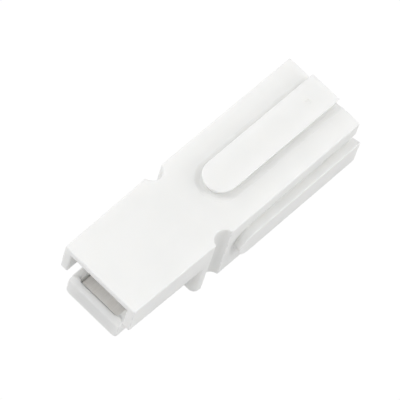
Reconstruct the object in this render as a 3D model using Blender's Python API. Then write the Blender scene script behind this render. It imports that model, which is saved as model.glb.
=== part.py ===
"""Single-pole power connector half: moulded housing, leaf spring and crimped contact.

The half is hermaphroditic: a mate of the same shape is turned upside down and pushed on,
so that its tongue runs under this hood and both contact blades meet at mid-height.
The part lies flat with +Z up. Its mouth faces -Y and the cable leaves at +Y.
"""

from math import asin, cos, degrees, pi, radians, sin

import bmesh
import bpy
from mathutils import Matrix, Vector

MM = 0.001

# Body and hood, in millimetres. Y counts from the hood's front edge, Z from the underside.
BODY_WIDTH = 20.0
BODY_HEIGHT = 19.0
BODY_LENGTH = 65.0
SHOULDER_Y = 20.5
SHOULDER_RADIUS = 1.5
HOOD_FRONT_WIDTH = 19.3
HOOD_REAR_WIDTH = 19.8
HOOD_WALL = 1.9
HOOD_ROOF = 1.75
HOOD_EDGE_Z = 10.9
HOOD_ROOT = 1.9

# Tongue that carries the contact blade.
TONGUE_WIDTH = 14.2
TONGUE_FRONT_Y = 0.4
TONGUE_BOTTOM_Z = 2.8
TONGUE_TOP_Z = 8.5
TONGUE_CORNER = 1.2
LIP_DROP = 1.1
LIP_RUN = 1.0

# Half-round notches for a retaining pin, one in each side wall.
NOTCH_RADIUS = 2.35
NOTCH_Y = 25.1
NOTCH_OUTSET = 0.4

# Dovetail rails on the top and the right side, grooves in the bottom and the left side.
RAIL_HEIGHT = 1.75
RAIL_TOP_HALF = 3.9
RAIL_BASE_HALF = 3.2
RAIL_END_Y = 33.9
RECESS_HALF = 5.1
RECESS_FLOOR_HALF = 3.95
RECESS_DEPTH = 0.4
GROOVE_DEPTH = 2.0
GROOVE_MOUTH_HALF = 3.45
GROOVE_INNER_HALF = 4.15

# Contact cavity: a round bore for the barrel and a flat channel for the blade.
AXIS_Z = 9.5
BORE_RADIUS = 6.25
BORE_START_Y = 33.0
BORE_CHAMFER = 0.7
CHANNEL_HALF = 5.3
CHANNEL_FLOOR_Z = 4.3
CHANNEL_ROOF_Z = 10.2
CHANNEL_FRONT_Y = 1.5
CHANNEL_CORNER = 0.8
LEDGE_REACH = 1.0
LEDGE_BOTTOM_Z = 5.85
LEDGE_TOP_Z = 6.5
LEDGE_START_Y = 23.6
LEDGE_LENGTH = 2.6

# Leaf spring: a hooked tail in a slot of the channel floor, a flat root and a raised nose.
LEAF_HALF_WIDTH = 5.05
LEAF_THICKNESS = 0.6
LEAF_FLAT_Z = 5.2
LEAF_BEND_RADIUS = 0.8
LEAF_TAIL_Y = 27.2
LEAF_TAIL_BOTTOM_Z = 3.2
LEAF_FLAT_FRONT_Y = 18.0
LEAF_CREST_Y = 7.4
LEAF_RISE = 1.45
LEAF_TIP_Y = 2.4
LEAF_TIP_DROP = 0.15
LEAF_PIVOT_Z = 5.0
SLOT_CLEARANCE = 0.2

# Contact: a blade with a down-turned nose hook, closed into a round crimp barrel.
BLADE_HALF_WIDTH = 4.7
BLADE_TOP_Z = 9.47
BLADE_THICKNESS = 2.2
NOSE_RADIUS = 1.1
HOOK_DEPTH = 0.9
HOOK_LENGTH = 0.4
HOOK_HALF_WIDTH = 3.9
BARREL_START = 31.5
BARREL_LENGTH = 17.2
BARREL_RADIUS = 5.25
WIRE_RADIUS = 4.25
BARREL_END_WALL = 2.5
LATCHED_NOSE_Y = 1.8
PARKED_BACK = 13.2

ROUND_STEPS = 40
ARC_STEPS = 8

# Length left behind the rear face for the last cut, so that the rear face is one clean plane.
SPARE = 1.0

WHITE_PLASTIC = ((0.90, 0.90, 0.885), 0.42, 0.0)
SPRING_STEEL = ((0.62, 0.60, 0.57), 0.30, 1.0)
PLATED_COPPER = ((0.80, 0.79, 0.76), 0.25, 1.0)


def clear_scene():
    for item in list(bpy.data.objects):
        bpy.data.objects.remove(item)


def new_material(name, look):
    colour, roughness, metallic = look
    material = bpy.data.materials.new(name)
    material.use_nodes = True
    shader = material.node_tree.nodes["Principled BSDF"]
    shader.inputs["Base Color"].default_value = (*colour, 1.0)
    shader.inputs["Roughness"].default_value = roughness
    shader.inputs["Metallic"].default_value = metallic
    return material


def object_from(bm, name):
    """Turns a bmesh in millimetres into a scene object in metres."""
    bmesh.ops.scale(bm, vec=(MM, MM, MM), verts=bm.verts)
    bmesh.ops.recalc_face_normals(bm, faces=bm.faces)
    mesh = bpy.data.meshes.new(name)
    bm.to_mesh(mesh)
    bm.free()
    made = bpy.data.objects.new(name, mesh)
    bpy.context.scene.collection.objects.link(made)
    return made


def arc(centre, radius, start, end, steps=ARC_STEPS):
    """Points on a circle from one angle to another, in degrees, both ends included."""
    angles = [radians(start + (end - start) * i / steps) for i in range(steps + 1)]
    return [(centre[0] + radius * cos(a), centre[1] + radius * sin(a)) for a in angles]


def skin_rings(name, rings):
    """Closes a row of rings with the same number of points into one solid."""
    bm = bmesh.new()
    rows = [[bm.verts.new(point) for point in ring] for ring in rings]
    count = len(rows[0])
    for lower, upper in zip(rows, rows[1:]):
        for i in range(count):
            j = (i + 1) % count
            bm.faces.new((lower[i], lower[j], upper[j], upper[i]))
    bm.faces.new(rows[0])
    bm.faces.new(rows[-1])
    return object_from(bm, name)


def plan_prism(name, outline, bottom, top, top_outline=None):
    """A solid over an XY outline; a second outline makes its sides slope."""
    return skin_rings(name, [
        [(x, y, bottom) for x, y in outline],
        [(x, y, top) for x, y in (top_outline or outline)],
    ])


def side_prism(name, outline, half_width):
    """A solid that carries a YZ outline across X."""
    return skin_rings(name, [
        [(-half_width, y, z) for y, z in outline],
        [(half_width, y, z) for y, z in outline],
    ])


def front_prism(name, outline, front, rear):
    """A solid that carries an XZ outline along Y."""
    return skin_rings(name, [
        [(x, front, z) for x, z in outline],
        [(x, rear, z) for x, z in outline],
    ])


def turned(name, profile):
    """A solid turned about the contact's axis from (y, radius) points."""
    rings = []
    for y, radius in profile:
        turns = [2.0 * pi * i / ROUND_STEPS for i in range(ROUND_STEPS)]
        rings.append([(radius * cos(a), y, AXIS_Z + radius * sin(a)) for a in turns])
    return skin_rings(name, rings)


def combine(target, tool, operation):
    modifier = target.modifiers.new(f"{operation.lower()}_{tool.name}", "BOOLEAN")
    modifier.operation = operation
    modifier.solver = "EXACT"
    modifier.object = tool
    tool.hide_render = True
    tool.display_type = "WIRE"


def shade(made, angle):
    made.data.shade_smooth()
    made.data.set_sharp_from_angle(angle=radians(angle))


def body_outline():
    """Plan of the body: square rear, notched sides and rounded shoulder corners."""
    half = BODY_WIDTH / 2.0
    corner = (half - SHOULDER_RADIUS, SHOULDER_Y + SHOULDER_RADIUS)
    lean = degrees(asin(NOTCH_OUTSET / NOTCH_RADIUS))
    right = arc(corner, SHOULDER_RADIUS, -90.0, 0.0)
    right += arc((half + NOTCH_OUTSET, NOTCH_Y), NOTCH_RADIUS, -90.0 - lean, -270.0 + lean, 16)
    right.append((half, BODY_LENGTH + SPARE))
    left = [(-x, y) for x, y in reversed(right)]
    return right + left


def hood_shell():
    front = HOOD_FRONT_WIDTH / 2.0
    rear = HOOD_REAR_WIDTH / 2.0
    root_y = SHOULDER_Y + HOOD_ROOT
    outline = [(-front, 0.0), (front, 0.0), (rear, root_y), (-rear, root_y)]
    shell = plan_prism("hood_block", outline, HOOD_EDGE_Z, BODY_HEIGHT)
    ahead = -1.0
    inner_front = front - HOOD_WALL
    inner_rear = rear - HOOD_WALL
    hollow = [(-inner_front, ahead), (inner_front, ahead), (inner_rear, SHOULDER_Y), (-inner_rear, SHOULDER_Y)]
    mouth = plan_prism("mouth_cutter", hollow, HOOD_EDGE_Z - 1.0, BODY_HEIGHT - HOOD_ROOF)
    combine(shell, mouth, "DIFFERENCE")
    return shell, [mouth]


def tongue_block():
    half = TONGUE_WIDTH / 2.0
    low = TONGUE_BOTTOM_Z + TONGUE_CORNER
    right = arc((half - TONGUE_CORNER, low), TONGUE_CORNER, -90.0, 0.0, 5)
    right.append((half, TONGUE_TOP_Z))
    outline = right + [(-x, z) for x, z in reversed(right)]
    block = front_prism("tongue_block", outline, TONGUE_FRONT_Y, SHOULDER_Y + 1.0)
    slope = [
        (TONGUE_FRONT_Y - LIP_RUN, TONGUE_TOP_Z - 2.0 * LIP_DROP),
        (TONGUE_FRONT_Y + 2.0 * LIP_RUN, TONGUE_TOP_Z + LIP_DROP),
        (TONGUE_FRONT_Y - LIP_RUN, TONGUE_TOP_Z + LIP_DROP),
    ]
    lip = side_prism("lip_cutter", slope, half + 1.0)
    combine(block, lip, "DIFFERENCE")
    return block, [lip]


def stadium(half_width, end_y, rear_y):
    """A strip along Y with a round front end, seen in plan."""
    front = arc((0.0, end_y), half_width, 180.0, 360.0, 16)
    return [(-half_width, rear_y)] + front + [(half_width, rear_y)]


def on_right_side(made):
    """Turns a feature built about the top's centre line onto the right side wall."""
    turn = Matrix.Rotation(radians(90.0), 4, "Y")
    made.data.transform(Matrix.Translation((0.0, 0.0, AXIS_Z * MM)) @ turn)


def flared(name, low, low_half, high, high_half):
    """A round-ended strip whose half width changes evenly from one height to another."""
    rear = BODY_LENGTH + 2.0 * SPARE
    base = stadium(low_half, RAIL_END_Y, rear)
    top = stadium(high_half, RAIL_END_Y, rear)
    return plan_prism(name, base, low, high, top)


def rail(name, face):
    """A dovetail that stands out of a face, rooted a little below it."""
    root = 2.0 * RECESS_DEPTH
    lean = (RAIL_TOP_HALF - RAIL_BASE_HALF) / RAIL_HEIGHT
    return flared(name, face - root, RAIL_BASE_HALF - lean * root, face + RAIL_HEIGHT, RAIL_TOP_HALF)


def recess(name, face):
    """The shallow trough with sloped sides that runs around a rail."""
    slope = (RECESS_HALF - RECESS_FLOOR_HALF) / RECESS_DEPTH
    above = RECESS_DEPTH
    top_half = RECESS_HALF + slope * above
    return flared(name, face - RECESS_DEPTH, RECESS_FLOOR_HALF, face + above, top_half)


def groove(name):
    """An undercut slot that takes a neighbour's rail, cut upwards from z = 0."""
    flare = (GROOVE_INNER_HALF - GROOVE_MOUTH_HALF) / GROOVE_DEPTH
    below = 1.0
    return flared(name, -below, GROOVE_MOUTH_HALF - flare * below, GROOVE_DEPTH, GROOVE_INNER_HALF)


def channel():
    half = CHANNEL_HALF
    turn_y = CHANNEL_FRONT_Y + CHANNEL_CORNER
    right = arc((half - CHANNEL_CORNER, turn_y), CHANNEL_CORNER, -90.0, 0.0, 5)
    right.append((half, BORE_START_Y + 1.0))
    outline = right + [(-x, y) for x, y in reversed(right)]
    return plan_prism("channel_cutter", outline, CHANNEL_FLOOR_Z, CHANNEL_ROOF_Z)


def bore():
    wide = BORE_RADIUS + BORE_CHAMFER
    profile = [
        (BORE_START_Y, BORE_RADIUS),
        (BODY_LENGTH - BORE_CHAMFER, BORE_RADIUS),
        (BODY_LENGTH + 2.0 * SPARE, wide + 2.0 * SPARE),
    ]
    return turned("bore_cutter", profile)


def tail_slot():
    half = LEAF_HALF_WIDTH + SLOT_CLEARANCE
    reach = LEAF_THICKNESS / 2.0 + SLOT_CLEARANCE
    low = LEAF_TAIL_BOTTOM_Z - SLOT_CLEARANCE
    outline = [
        (LEAF_TAIL_Y - reach, low),
        (LEAF_TAIL_Y + reach, low),
        (LEAF_TAIL_Y + reach, CHANNEL_FLOOR_Z + 0.5),
        (LEAF_TAIL_Y - reach, CHANNEL_FLOOR_Z + 0.5),
    ]
    return side_prism("tail_slot_cutter", outline, half)


def ledge(side):
    """A tab on the channel wall that holds the leaf's flat root down."""
    inner = side * (CHANNEL_HALF - LEDGE_REACH)
    outer = side * (CHANNEL_HALF + 0.5)
    rear = LEDGE_START_Y + LEDGE_LENGTH
    outline = [(inner, LEDGE_START_Y), (outer, LEDGE_START_Y), (outer, rear), (inner, rear)]
    return plan_prism(f"ledge_{'right' if side > 0 else 'left'}", outline, LEDGE_BOTTOM_Z, LEDGE_TOP_Z)


def rear_trim():
    half = BODY_WIDTH
    outline = [(-half, -half), (half, -half), (half, 2.0 * half), (-half, 2.0 * half)]
    return front_prism("rear_trim_cutter", outline, BODY_LENGTH, BODY_LENGTH + 5.0 * SPARE)


def make_housing():
    housing = plan_prism("housing", body_outline(), 0.0, BODY_HEIGHT)
    hood, hood_tools = hood_shell()
    tongue, tongue_tools = tongue_block()
    bottom_groove = groove("bottom_groove_cutter")
    left_groove = groove("left_groove_cutter")
    on_right_side(left_groove)
    left_groove.data.transform(Matrix.Translation((-BODY_WIDTH / 2.0 * MM, 0.0, 0.0)))
    side_recess = recess("side_recess_cutter", BODY_WIDTH / 2.0)
    on_right_side(side_recess)
    side_rail = rail("side_rail", BODY_WIDTH / 2.0)
    on_right_side(side_rail)
    trim = rear_trim()
    joins = [hood, tongue]
    cuts = [
        channel(),
        bore(),
        bottom_groove,
        left_groove,
        recess("top_recess_cutter", BODY_HEIGHT),
        side_recess,
        tail_slot(),
    ]
    late_joins = [rail("top_rail", BODY_HEIGHT), side_rail, ledge(-1), ledge(1)]
    for tool in joins:
        combine(housing, tool, "UNION")
    for tool in cuts:
        combine(housing, tool, "DIFFERENCE")
    for tool in late_joins:
        combine(housing, tool, "UNION")
    combine(housing, trim, "DIFFERENCE")
    housing.data.materials.append(new_material("white_plastic", WHITE_PLASTIC))
    return housing, joins + cuts + late_joins + hood_tools + tongue_tools + [trim]


def leaf_path():
    """Centre line of the leaf in the YZ plane, from the hooked tail to the tip."""
    bend_centre = (LEAF_TAIL_Y - LEAF_BEND_RADIUS, LEAF_FLAT_Z - LEAF_BEND_RADIUS)
    path = [(LEAF_TAIL_Y, LEAF_TAIL_BOTTOM_Z)]
    path += arc(bend_centre, LEAF_BEND_RADIUS, 0.0, 90.0, 6)
    steps = 12
    run = LEAF_FLAT_FRONT_Y - LEAF_CREST_Y
    for i in range(steps + 1):
        t = i / steps
        path.append((LEAF_FLAT_FRONT_Y - run * t, LEAF_FLAT_Z + LEAF_RISE * (1.0 - cos(pi * t)) / 2.0))
    steps = 5
    run = LEAF_CREST_Y - LEAF_TIP_Y
    for i in range(1, steps + 1):
        t = i / steps
        path.append((LEAF_CREST_Y - run * t, LEAF_FLAT_Z + LEAF_RISE - LEAF_TIP_DROP * t * t))
    return path


def thick_outline(path, thickness):
    """Offsets a path by half the thickness to both sides and joins the two lines."""
    upper = []
    lower = []
    for i, point in enumerate(path):
        before = Vector(path[max(i - 1, 0)])
        after = Vector(path[min(i + 1, len(path) - 1)])
        along = (after - before).normalized()
        across = Vector((-along.y, along.x)) * thickness / 2.0
        upper.append(tuple(Vector(point) + across))
        lower.append(tuple(Vector(point) - across))
    return upper + lower[::-1]


def make_leaf():
    pivot = Vector((0.0, LEAF_TAIL_Y, LEAF_PIVOT_Z))
    outline = thick_outline(leaf_path(), LEAF_THICKNESS)
    leaf = side_prism("leaf_spring", outline, LEAF_HALF_WIDTH)
    leaf.data.transform(Matrix.Translation(-pivot * MM))
    leaf.location = pivot * MM
    shade(leaf, 30.0)
    leaf.data.materials.append(new_material("spring_steel", SPRING_STEEL))
    return leaf


def make_contact():
    """Built with its nose at y = 0, then placed on its slide axis at the parked position."""
    under = BLADE_TOP_Z - BLADE_THICKNESS
    root = BARREL_START + BARREL_END_WALL / 2.0
    rounding = arc((NOSE_RADIUS, BLADE_TOP_Z - NOSE_RADIUS), NOSE_RADIUS, 90.0, 180.0, 6)
    blade_outline = [(root, under), (root, BLADE_TOP_Z)] + rounding + [(0.0, under)]
    blade = side_prism("blade", blade_outline, BLADE_HALF_WIDTH)
    hook_top = under + 0.6
    tip = [
        (0.0, hook_top),
        (0.0, under - HOOK_DEPTH * 0.4),
        (HOOK_LENGTH * 0.45, under - HOOK_DEPTH),
        (HOOK_LENGTH, under - HOOK_DEPTH),
        (HOOK_LENGTH, hook_top),
    ]
    hook = side_prism("nose_hook", tip, HOOK_HALF_WIDTH)
    rear = BARREL_START + BARREL_LENGTH
    edge = 0.4
    contact = turned("contact", [
        (BARREL_START, BARREL_RADIUS - 2.0 * edge),
        (BARREL_START + 2.0 * edge, BARREL_RADIUS),
        (rear - edge, BARREL_RADIUS),
        (rear, BARREL_RADIUS - edge),
        (rear, WIRE_RADIUS + edge),
        (rear - edge, WIRE_RADIUS),
        (BARREL_START + BARREL_END_WALL, WIRE_RADIUS),
    ])
    combine(contact, blade, "UNION")
    combine(contact, hook, "UNION")
    to_axis = Matrix.Translation((0.0, 0.0, -AXIS_Z * MM))
    placed = Vector((0.0, LATCHED_NOSE_Y + PARKED_BACK, AXIS_Z)) * MM
    for piece in (contact, blade, hook):
        piece.data.transform(to_axis)
        piece.location = placed
    shade(contact, 30.0)
    contact.data.materials.append(new_material("plated_copper", PLATED_COPPER))
    return contact, [blade, hook]


def main():
    clear_scene()
    housing, housing_tools = make_housing()
    leaf = make_leaf()
    contact, contact_tools = make_contact()
    stand = bpy.data.objects.new("connector_origin", None)
    bpy.context.scene.collection.objects.link(stand)
    stand.location = Vector((-RAIL_HEIGHT / 2.0, -BODY_LENGTH / 2.0, 0.0)) * MM
    for piece in (housing, leaf, contact, *housing_tools, *contact_tools):
        piece.parent = stand


main()
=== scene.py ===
from math import cos, pi, radians, sin

import bmesh
import bpy
from mathutils import Matrix, Vector


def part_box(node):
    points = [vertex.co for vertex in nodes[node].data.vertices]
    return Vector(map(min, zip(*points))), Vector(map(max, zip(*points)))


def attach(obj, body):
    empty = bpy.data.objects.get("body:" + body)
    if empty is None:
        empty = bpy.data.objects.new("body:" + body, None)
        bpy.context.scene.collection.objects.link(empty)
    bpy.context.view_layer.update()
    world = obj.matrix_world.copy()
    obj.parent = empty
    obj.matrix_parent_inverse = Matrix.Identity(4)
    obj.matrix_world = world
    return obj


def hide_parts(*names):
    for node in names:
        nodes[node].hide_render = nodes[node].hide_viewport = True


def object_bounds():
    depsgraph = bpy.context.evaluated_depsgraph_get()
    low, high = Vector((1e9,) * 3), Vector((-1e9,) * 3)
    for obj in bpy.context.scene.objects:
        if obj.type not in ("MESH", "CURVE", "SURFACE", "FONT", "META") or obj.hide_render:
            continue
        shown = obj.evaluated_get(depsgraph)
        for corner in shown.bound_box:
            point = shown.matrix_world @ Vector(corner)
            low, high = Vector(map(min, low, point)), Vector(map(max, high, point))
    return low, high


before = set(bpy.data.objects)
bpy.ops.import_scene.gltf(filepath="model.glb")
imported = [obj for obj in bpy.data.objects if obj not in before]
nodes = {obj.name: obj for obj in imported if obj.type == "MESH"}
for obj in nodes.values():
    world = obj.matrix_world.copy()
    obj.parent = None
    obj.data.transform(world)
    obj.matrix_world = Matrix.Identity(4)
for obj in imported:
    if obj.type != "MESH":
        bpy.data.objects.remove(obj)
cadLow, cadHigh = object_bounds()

mm = 0.001
centre = (cadLow + cadHigh) / 2.0

# The camera comes first: a long lens from high on the right, turned a little about its own axis.
shot = {
    "azimuth": 27.432,
    "elevation": 60.787,
    "roll": 19.191,
    "distance": 802.446 * mm,
    "lens": 360.0,
    "aimRight": -2.129 * mm,  # where the lens points, off the middle of the part
    "aimUp": 1.247 * mm,
}


def placeCamera(v):
    azimuth = radians(v["azimuth"])
    elevation = radians(v["elevation"])
    back = Vector((sin(azimuth) * cos(elevation), -cos(azimuth) * cos(elevation), sin(elevation)))
    level = Vector((cos(azimuth), sin(azimuth), 0.0))
    right = Matrix.Rotation(radians(v["roll"]), 3, back) @ level
    up = back.cross(right)
    turn = Matrix((right, up, back)).transposed()
    eye = centre + back * v["distance"] + right * v["aimRight"] + up * v["aimUp"]
    data = bpy.data.cameras.new("studioCamera")
    data.lens = v["lens"]
    data.sensor_width = 36.0
    data.clip_start = 0.05
    data.clip_end = 50.0
    camera = bpy.data.objects.new("studioCamera", data)
    camera.matrix_world = Matrix.Translation(eye) @ turn.to_4x4()
    bpy.context.scene.collection.objects.link(camera)
    bpy.context.scene.camera = camera


placeCamera(shot)
print("camera placed")

# A white light tent: even surroundings, soft boxes round the part and a glowing white table.
studio = {
    "surroundings": 0.45,
    "boxSize": 0.5,
    "boxDistance": 1.0,
    "boxes": (  # azimuth, elevation and power in watts
        (300.0, 30.0, 2.6),
        (300.0, 60.0, 1.2),
        (0.0, 60.0, 1.1),
        (120.0, 30.0, 2.2),
        (120.0, 60.0, 1.2),
        (180.0, 30.0, 1.2),
    ),
    "tableGlow": 0.42,
    "tableColour": (0.30, 0.30, 0.30),
    "tableWhite": 1.02,
    "tableReach": 12.0,
}


def principled(name):
    material = bpy.data.materials.new(name)
    material.use_nodes = True
    return material, material.node_tree.nodes["Principled BSDF"]


def fromSide(azimuth, elevation):
    # The way out from the part towards a camera or lamp; azimuth 0 stands in front of the mouth.
    flat = cos(radians(elevation))
    return Vector((sin(radians(azimuth)) * flat, -cos(radians(azimuth)) * flat, sin(radians(elevation))))


def lightStudio(v):
    scene = bpy.context.scene
    scene.view_settings.view_transform = "Standard"
    world = bpy.data.worlds.new("lightTent")
    world.use_nodes = True
    background = world.node_tree.nodes["Background"]
    background.inputs["Color"].default_value = (1.0, 1.0, 1.0, 1.0)
    background.inputs["Strength"].default_value = v["surroundings"]
    scene.world = world
    for i, (azimuth, elevation, power) in enumerate(v["boxes"]):
        lamp = bpy.data.lights.new(f"softBox{i + 1}", "AREA")
        lamp.shape = "SQUARE"
        lamp.size = v["boxSize"]
        lamp.energy = power
        box = bpy.data.objects.new(lamp.name, lamp)
        out = fromSide(azimuth, elevation)
        aim = out.to_track_quat("Z", "Y").to_matrix().to_4x4()
        box.matrix_world = Matrix.Translation(centre + out * v["boxDistance"]) @ aim
        scene.collection.objects.link(box)


def layTable(v):
    # The lens sees the table as clean white; the part gets only a softer glow back from it.
    material, shader = principled("tablePaper")
    shader.inputs["Base Color"].default_value = (*v["tableColour"], 1.0)
    shader.inputs["Roughness"].default_value = 0.9
    shader.inputs["Emission Color"].default_value = (1.0, 1.0, 1.0, 1.0)
    shader.inputs["Emission Strength"].default_value = v["tableGlow"]
    tree = material.node_tree
    white = tree.nodes.new("ShaderNodeEmission")
    white.inputs["Strength"].default_value = v["tableWhite"]
    rays = tree.nodes.new("ShaderNodeLightPath")
    mix = tree.nodes.new("ShaderNodeMixShader")
    tree.links.new(rays.outputs["Is Camera Ray"], mix.inputs[0])
    tree.links.new(shader.outputs[0], mix.inputs[1])
    tree.links.new(white.outputs[0], mix.inputs[2])
    tree.links.new(mix.outputs[0], tree.nodes["Material Output"].inputs["Surface"])
    bm = bmesh.new()
    bmesh.ops.create_circle(bm, cap_ends=True, radius=v["tableReach"], segments=96)
    mesh = bpy.data.meshes.new("table")
    bm.to_mesh(mesh)
    bm.free()
    mesh.transform(Matrix.Translation((0.0, 0.0, cadLow.z - 0.02 * mm)))
    mesh.materials.append(material)
    table = bpy.data.objects.new("table", mesh)
    bpy.context.scene.collection.objects.link(table)


lightStudio(studio)
layTable(studio)
print("studio lit")


class Weave:
    # A short way to add nodes to one tree and join them up.
    def __init__(self, tree):
        self.tree = tree

    def add(self, kind, **inputs):
        node = self.tree.nodes.new(kind)
        for name, value in inputs.items():
            self.feed(node, name, value)
        return node

    def feed(self, node, name, value):
        # A name such as i0 stands for an input by its number, where several share one name.
        numbered = name[0] == "i" and name[1:].isdigit()
        socket = node.inputs[int(name[1:]) if numbered else name]
        if isinstance(value, bpy.types.NodeSocket):
            self.tree.links.new(value, socket)
        else:
            socket.default_value = value

    def noise(self, where, grain, detail=2.0, roughness=0.5):
        sizes = {"Scale": 1.0 / grain, "Detail": detail, "Roughness": roughness}
        node = self.add("ShaderNodeTexNoise", Vector=where, **sizes)
        return node.outputs["Fac"]

    def span(self, value, low, high, toLow, toHigh):
        node = self.add("ShaderNodeMapRange", Value=value)
        for name, number in zip(("From Min", "From Max", "To Min", "To Max"), (low, high, toLow, toHigh)):
            node.inputs[name].default_value = number
        return node.outputs["Result"]

    def maths(self, operation, a, b):
        node = self.tree.nodes.new("ShaderNodeMath")
        node.operation = operation
        self.feed(node, "i0", a)
        self.feed(node, "i1", b)
        return node.outputs[0]

    def blend(self, share, first, second):
        node = self.tree.nodes.new("ShaderNodeMix")
        node.data_type = "RGBA"
        self.feed(node, "i0", share)
        self.feed(node, "i6", first)
        self.feed(node, "i7", second)
        return node.outputs[2]

    def stretched(self, where, scale):
        node = self.add("ShaderNodeMapping", Vector=where)
        node.inputs["Scale"].default_value = scale
        return node.outputs["Vector"]

    def rims(self):
        # 1 along the rounded edges, 0 on open faces: softenEdges stores it on the mesh.
        node = self.tree.nodes.new("ShaderNodeAttribute")
        node.attribute_name = "rim"
        return node.outputs["Fac"]

    def bumps(self, layers):
        # Stacks height layers, each (height, strength, depth in metres), into one normal.
        normal = None
        for height, strength, depth in layers:
            node = self.add("ShaderNodeBump", Height=height, Strength=strength, Distance=depth)
            if normal:
                self.tree.links.new(normal, node.inputs["Normal"])
            normal = node.outputs["Normal"]
        return normal


plasticLook = {
    "colour": (0.895, 0.895, 0.880, 1.0),
    "cloudColour": (0.872, 0.874, 0.862, 1.0),
    "rimColour": (0.905, 0.905, 0.895, 1.0),
    "cloudGrain": 9.0 * mm,
    "sparkGrain": 0.16 * mm,
    "smearGrain": 1.6 * mm,
    "roughness": (0.40, 0.52),
    "rimRoughness": 0.33,
    "sparkDepth": 0.006 * mm,
    "sinkDepth": 0.04 * mm,
    "glowShare": 0.9,
    "glowReach": 2.0 * mm,
}


def mouldedPlastic(v):
    material, shader = principled("mouldedPlastic")
    w = Weave(material.node_tree)
    where = w.add("ShaderNodeTexCoord").outputs["Object"]
    cloud = w.noise(where, v["cloudGrain"], 3.0)
    spark = w.noise(where, v["sparkGrain"], 4.0, 0.6)
    smear = w.noise(w.stretched(where, (1.0, 0.35, 1.0)), v["smearGrain"], 3.0)
    rims = w.rims()
    body = w.blend(w.span(cloud, 0.35, 0.65, 0.0, 1.0), v["colour"], v["cloudColour"])
    tinted = w.blend(w.maths("MULTIPLY", rims, w.span(smear, 0.3, 0.7, 0.3, 1.0)), body, v["rimColour"])
    low, high = v["roughness"]
    rough = w.span(smear, 0.3, 0.7, low, high)
    rough = w.maths("SUBTRACT", rough, w.maths("MULTIPLY", rims, high - v["rimRoughness"]))
    normal = w.bumps([(spark, 0.35, v["sparkDepth"]), (cloud, 0.25, v["sinkDepth"])])
    w.feed(shader, "Base Color", tinted)
    w.feed(shader, "Roughness", rough)
    w.feed(shader, "Normal", normal)
    shader.inputs["IOR"].default_value = 1.5
    shader.inputs["Subsurface Weight"].default_value = v["glowShare"]
    shader.inputs["Subsurface Radius"].default_value = (1.0, 0.98, 0.95)
    shader.inputs["Subsurface Scale"].default_value = v["glowReach"]
    return material


steelLook = {
    "colour": (0.90, 0.885, 0.87, 1.0),
    "streakColour": (0.80, 0.785, 0.77, 1.0),
    "rimColour": (0.95, 0.94, 0.93, 1.0),
    "streakGrain": 0.25 * mm,
    "tarnishGrain": 3.5 * mm,
    "pitGrain": 0.12 * mm,
    "roughness": (0.50, 0.64),
    "streakDepth": 0.003 * mm,
    "stretch": (1.0, 0.06, 1.0),
}

copperLook = {
    "colour": (0.80, 0.79, 0.765, 1.0),
    "streakColour": (0.66, 0.64, 0.61, 1.0),
    "rimColour": (0.83, 0.74, 0.66, 1.0),  # the copper shows a little where the plating is thin
    "streakGrain": 0.5 * mm,
    "tarnishGrain": 3.5 * mm,
    "pitGrain": 0.12 * mm,
    "roughness": (0.24, 0.40),
    "streakDepth": 0.004 * mm,
    "stretch": (1.0, 0.10, 1.0),
}


def rolledMetal(name, v):
    # Metal drawn or rolled along one way: long fine streaks, cloudy tarnish and rubbed edges.
    material, shader = principled(name)
    w = Weave(material.node_tree)
    where = w.add("ShaderNodeTexCoord").outputs["Object"]
    streaks = w.noise(w.stretched(where, v["stretch"]), v["streakGrain"], 4.0, 0.65)
    tarnish = w.noise(where, v["tarnishGrain"], 3.0)
    pits = w.noise(where, v["pitGrain"], 2.0)
    rims = w.rims()
    worn = w.maths("MULTIPLY", w.span(streaks, 0.35, 0.75, 0.0, 1.0), tarnish)
    body = w.blend(worn, v["colour"], v["streakColour"])
    low, high = v["roughness"]
    mixed = w.maths("ADD", w.maths("MULTIPLY", streaks, 0.5), w.maths("MULTIPLY", tarnish, 0.5))
    rough = w.span(mixed, 0.35, 0.65, low, high)
    w.feed(shader, "Base Color", w.blend(w.maths("MULTIPLY", rims, 0.7), body, v["rimColour"]))
    w.feed(shader, "Roughness", rough)
    layers = [(streaks, 0.4, v["streakDepth"]), (pits, 0.2, v["streakDepth"] / 2.0)]
    w.feed(shader, "Normal", w.bumps(layers))
    shader.inputs["Metallic"].default_value = 1.0
    return material


plastic = mouldedPlastic(plasticLook)
steel = rolledMetal("springSteel", steelLook)
copper = rolledMetal("platedCopper", copperLook)
print("finishes mixed")


def linked(mesh, name):
    made = bpy.data.objects.new(name, mesh)
    bpy.context.scene.collection.objects.link(made)
    return made


def cleanCopy(node, name):
    # The frame's mesh is loose triangles; this copy is welded, with flat faces whole again.
    bm = bmesh.new()
    bm.from_mesh(nodes[node].data)
    bmesh.ops.remove_doubles(bm, verts=bm.verts, dist=0.02 * mm)
    bmesh.ops.dissolve_limit(bm, angle_limit=radians(0.6), verts=bm.verts, edges=bm.edges)
    for face in bm.faces:
        face.smooth = True
    mesh = bpy.data.meshes.new(name)
    bm.to_mesh(mesh)
    bm.free()
    return linked(mesh, name)


def settled(made):
    # Turns the object with its modifiers into a plain mesh and drops the modifiers.
    depsgraph = bpy.context.evaluated_depsgraph_get()
    mesh = bpy.data.meshes.new_from_object(made.evaluated_get(depsgraph))
    made.modifiers.clear()
    made.data = mesh


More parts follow.
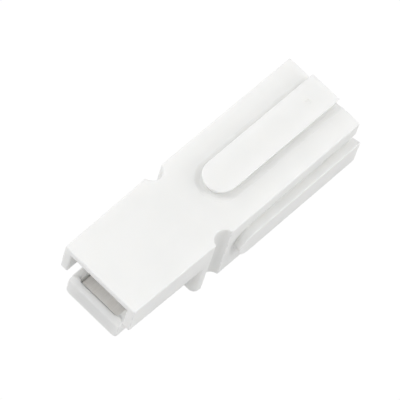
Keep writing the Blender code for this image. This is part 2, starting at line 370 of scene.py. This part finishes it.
def softenEdges(made, widest, segments, sharpest, roundness):
    # Rounds each crease by roundness(edge) metres; creases it leaves alone stay sharp.
    bm = bmesh.new()
    bm.from_mesh(made.data)
    weight = bm.edges.layers.float.new("bevel_weight_edge")
    for edge in bm.edges:
        if edge.is_manifold and edge.calc_face_angle() > radians(sharpest):
            edge[weight] = roundness(edge) / widest
            edge.smooth = edge[weight] > 0.0
    bm.to_mesh(made.data)
    bm.free()
    made.data.materials.clear()
    for i in range(2):
        made.data.materials.append(None)
    bevel = made.modifiers.new("softEdges", "BEVEL")
    bevel.limit_method = "WEIGHT"
    bevel.width = widest
    bevel.segments = segments
    bevel.use_clamp_overlap = False
    bevel.material = 1
    normals = made.modifiers.new("evenNormals", "WEIGHTED_NORMAL")
    normals.keep_sharp = True
    settled(made)
    storeRims(made.data)


def storeRims(mesh):
    # The rounded strips carry the second material index, which becomes the attribute "rim".
    strips = [polygon.material_index == 1 for polygon in mesh.polygons]
    inner = [True] * len(mesh.vertices)
    for polygon, strip in zip(mesh.polygons, strips):
        if not strip:
            for index in polygon.vertices:
                inner[index] = False
    rim = mesh.attributes.new("rim", "FLOAT", "CORNER")
    for polygon, strip in zip(mesh.polygons, strips):
        for loop in polygon.loop_indices:
            if strip:
                rim.data[loop].value = 1.0 if inner[mesh.loops[loop].vertex_index] else 0.4
        polygon.material_index = 0


def place(made, body, node, look):
    made.data.materials.clear()
    made.data.materials.append(look)
    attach(made, body)
    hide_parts(node)
    print(made.name, "made,", len(made.data.polygons), "faces")


housingValues = {
    "edge": 0.26 * mm,
    "underside": 0.5 * mm,
    "thinEdge": 0.04 * mm,  # on the narrow strip between the tongue's lip and its window
    "cornerEdge": 0.1 * mm,  # where the hood's lower edge runs into the shoulders
    "channelEdge": 0.04 * mm,  # inside the leaf's channel, where the fit is close
    "tongueTop": 8.5 * mm,
    "channelLow": 2.9 * mm,  # just under the slot for the leaf's tail
    "hoodEdge": 10.9 * mm,
    "windowHalf": 5.3 * mm,
    "windowFront": 1.5 * mm,  # from the mouth, along the part
    "lipStrip": (0.9 * mm, 1.9 * mm),
    "shoulder": (19.6 * mm, 23.0 * mm),
    "boreFrom": 20.0 * mm,
    "boreReach": 6.6 * mm,
    "segments": 3,
    "sharpest": 18.6,  # degrees; the facets of round corners turn less than this
    "markSteps": 28,
    "gate": (5.6 * mm, 0.62 * mm, 0.14 * mm),  # distance from the rear face, radius and depth
    "pin": (1.35 * mm, 0.08 * mm),  # ejector pin marks on the underside: radius and depth
    "pinSide": 6.9 * mm,
    "pinAlong": (35.0 * mm, 58.0 * mm),
}


def markCutter(name, radius, depth, steps):
    # A short closed drum, a little wider outside, that leaves a shallow round dent.
    bm = bmesh.new()
    rings = []
    for z, r in ((-depth, radius), (0.0, radius * 1.06), (depth, radius * 1.12)):
        turns = [2.0 * pi * i / steps for i in range(steps)]
        rings.append([bm.verts.new((r * cos(a), r * sin(a), z)) for a in turns])
    for lower, upper in zip(rings, rings[1:]):
        for i in range(steps):
            j = (i + 1) % steps
            bm.faces.new((lower[i], lower[j], upper[j], upper[i]))
    bm.faces.new(rings[0][::-1])
    bm.faces.new(rings[-1])
    mesh = bpy.data.meshes.new(name)
    bm.to_mesh(mesh)
    bm.free()
    return linked(mesh, name)


def dentMarks(made, v, marks):
    # Cuts the moulding's round marks, each (name, middle, radius, depth, way out), and drops the cutters.
    cutters = []
    for name, middle, radius, depth, out in marks:
        cutter = markCutter(name, radius, depth, v["markSteps"])
        if out < 0.0:
            cutter.data.transform(Matrix.Rotation(pi, 4, "X"))
        cutter.data.transform(Matrix.Translation(middle))
        dent = made.modifiers.new(name, "BOOLEAN")
        dent.solver = "EXACT"
        dent.object = cutter
        cutters.append(cutter)
    settled(made)
    for cutter in cutters:
        bpy.data.objects.remove(cutter)


def makeHousing(v):
    made = cleanCopy("housing", "housing_shell")
    low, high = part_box("housing")
    barrelLow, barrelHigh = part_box("contact")
    axis = (barrelLow + barrelHigh) / 2.0
    fromRear, radius, depth = v["gate"]
    marks = [("gateMark", Vector((axis.x, high.y - fromRear, high.z)), radius, depth, 1.0)]
    radius, depth = v["pin"]
    for side in (-1.0, 1.0):
        for along in v["pinAlong"]:
            middle = Vector((axis.x + side * v["pinSide"], low.y + along, low.z))
            marks.append((f"pinMark{len(marks)}", middle, radius, depth, -1.0))
    dentMarks(made, v, marks)

    def onMark(point):
        return any((point - middle).length < radius * 1.3 for name, middle, radius, depth, out in marks)

    def roundness(edge):
        first, second = (vert.co for vert in edge.verts)
        middle = (first + second) / 2.0
        back = middle.y - low.y
        off = Vector((middle.x - axis.x, middle.z - axis.z)).length
        if onMark(first) and onMark(second):
            return 0.0
        if v["boreFrom"] < back < high.y - low.y - 1.0 * mm and off < v["boreReach"]:
            return 0.0
        aside = abs(middle.x - axis.x)
        inChannel = aside < v["windowHalf"] + v["edge"] and back > v["windowFront"] + v["edge"]
        if inChannel and v["channelLow"] < middle.z < v["tongueTop"] - v["edge"]:
            return v["channelEdge"]
        if v["lipStrip"][0] < back < v["lipStrip"][1] and abs(middle.z - v["tongueTop"]) < 0.1 * mm:
            return v["thinEdge"]
        if v["shoulder"][0] < back < v["shoulder"][1] and abs(middle.z - v["hoodEdge"]) < 0.2 * mm:
            return v["cornerEdge"]
        if max(first.z, second.z) < low.z + 0.05 * mm:
            return v["underside"]
        return v["edge"]

    softenEdges(made, v["underside"], v["segments"], v["sharpest"], roundness)
    place(made, "housing_body", "housing", plastic)


makeHousing(housingValues)


class Plan:
    # A geometry node tree with named sizes; it ends by making instances real and giving the finish.
    def __init__(self, name, sizes):
        self.tree = bpy.data.node_groups.new(name, "GeometryNodeTree")
        sockets = self.tree.interface
        sockets.new_socket("Geometry", in_out="INPUT", socket_type="NodeSocketGeometry")
        self.keys = {}
        for label, size in sizes.items():
            kind = "NodeSocketInt" if isinstance(size, int) else "NodeSocketFloat"
            self.keys[label] = sockets.new_socket(label, in_out="INPUT", socket_type=kind).identifier
        sockets.new_socket("Geometry", in_out="OUTPUT", socket_type="NodeSocketGeometry")
        self.sizes = sizes
        self.start = self.tree.nodes.new("NodeGroupInput")

    def add(self, kind, links):
        node = self.tree.nodes.new(kind)
        for name, source in links:
            if isinstance(source, bpy.types.NodeSocket):
                self.tree.links.new(source, node.inputs[name])
            else:
                node.inputs[name].default_value = source
        return node

    def size(self, label):
        return self.start.outputs[label]

    def finish(self, geometry, look):
        real = self.add("GeometryNodeRealizeInstances", [("Geometry", geometry)])
        finish = self.add("GeometryNodeSetMaterial", [("Geometry", real.outputs[0]), ("Material", look)])
        end = self.tree.nodes.new("NodeGroupOutput")
        self.tree.links.new(finish.outputs[0], end.inputs[0])

    def build(self, name, path):
        # The path, as points joined in a row, is the object's own mesh.
        mesh = bpy.data.meshes.new(name)
        mesh.from_pydata(path, [(i, i + 1) for i in range(len(path) - 1)], [])
        made = linked(mesh, name)
        modifier = made.modifiers.new(self.tree.name, "NODES")
        modifier.node_group = self.tree
        for label, size in self.sizes.items():
            modifier[self.keys[label]] = size
        settled(made)
        return made


leafValues = {
    "Width": 10.1 * mm,
    "Thickness": 0.6 * mm,
}

leafShape = {
    "root": 2.0 * mm,  # height of the flat root above the end of the hooked tail
    "bend": 0.8 * mm,
    "rootEnd": 15.6 * mm,  # how far behind the tip the flat root ends
    "crest": 5.0 * mm,  # how far behind the tip the leaf is highest
    "droop": 0.15 * mm,
    "tailSteps": 8,
    "riseSteps": 24,
    "edge": 0.08 * mm,
    "segments": 3,
    "sharpest": 40.0,
}


def leafPath(v, thickness):
    # Centre line of the strip: hooked tail, flat root, S-shaped rise and a nose that dips a little.
    low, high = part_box("leaf_spring")
    x = (low.x + high.x) / 2.0
    tail = high.y - thickness / 2.0
    flat = low.z + v["root"]
    rise = high.z - thickness / 2.0 - flat
    crest = low.y + v["crest"]
    run = v["rootEnd"] - v["crest"]
    path = [(x, tail, low.z)]
    for i in range(v["tailSteps"] + 1):
        turn = pi / 2.0 * i / v["tailSteps"]
        path.append((x, tail - v["bend"] * (1.0 - cos(turn)), flat - v["bend"] * (1.0 - sin(turn))))
    for i in range(v["riseSteps"] + 1):
        share = i / v["riseSteps"]
        path.append((x, crest + run * (1.0 - share), flat + rise * (1.0 - cos(pi * share)) / 2.0))
    for i in range(1, v["tailSteps"] + 1):
        share = i / v["tailSteps"]
        path.append((x, crest - v["crest"] * share, flat + rise - v["droop"] * share ** 2))
    return path


def makeLeaf(v, shape):
    # A flat section swept along the leaf's own line.
    plan = Plan("leafSweep", v)
    line = plan.add("GeometryNodeMeshToCurve", [("Mesh", plan.start.outputs["Geometry"])])
    across = [("Width", plan.size("Width")), ("Height", plan.size("Thickness"))]
    section = plan.add("GeometryNodeCurvePrimitiveQuadrilateral", across)
    joined = [("Curve", line.outputs[0]), ("Profile Curve", section.outputs[0]), ("Fill Caps", True)]
    sweep = plan.add("GeometryNodeCurveToMesh", joined)
    plan.finish(sweep.outputs[0], steel)
    made = plan.build("leaf_strip", leafPath(shape, v["Thickness"]))
    softenEdges(made, shape["edge"], shape["segments"], shape["sharpest"], lambda edge: shape["edge"])
    place(made, "spring_body", "leaf_spring", steel)


makeLeaf(leafValues, leafShape)


contactValues = {
    "edge": 0.15 * mm,
    "segments": 3,
    "sharpest": 40.0,
}


def makeContact(v):
    made = cleanCopy("contact", "contact_blade")
    softenEdges(made, v["edge"], v["segments"], v["sharpest"], lambda edge: v["edge"])
    place(made, "contact_body", "contact", copper)


makeContact(contactValues)
